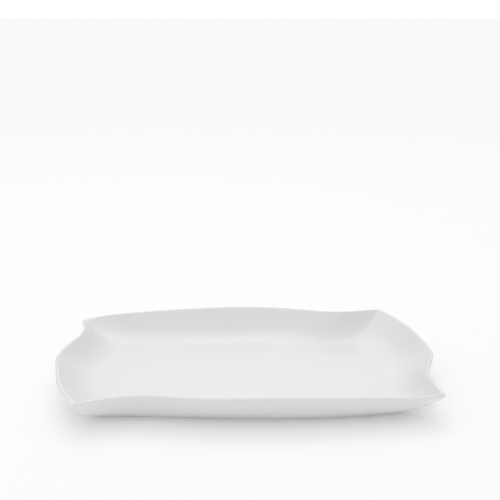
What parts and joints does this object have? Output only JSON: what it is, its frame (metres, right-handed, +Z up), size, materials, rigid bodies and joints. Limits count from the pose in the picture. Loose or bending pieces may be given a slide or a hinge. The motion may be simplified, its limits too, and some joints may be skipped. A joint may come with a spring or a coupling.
{
  "type": "china serving platter",
  "caption": "Glazed white porcelain serving platter with wavy rolled-lip sides, four unequal pointed corners, a broad flat well and a low unglazed foot ring.",
  "frame": {"origin": "on the table under the middle of the platter, in the plane of the foot ring", "axes": "+X along the platter's length, +Y across it to the back, +Z up out of the well"},
  "size_m": [0.3828, 0.255, 0.036],
  "materials": {
    "porcelain": "fired white porcelain",
    "bare_porcelain": "unglazed, wiped and polished",
    "white_glaze": "smooth bright white glaze"
  },
  "bodies": {
    "root": {"porcelain_body": "porcelain", "foot_ring": "bare_porcelain", "outer_glaze": "white_glaze", "recess_glaze": "white_glaze"}
  },
  "joints": []
}
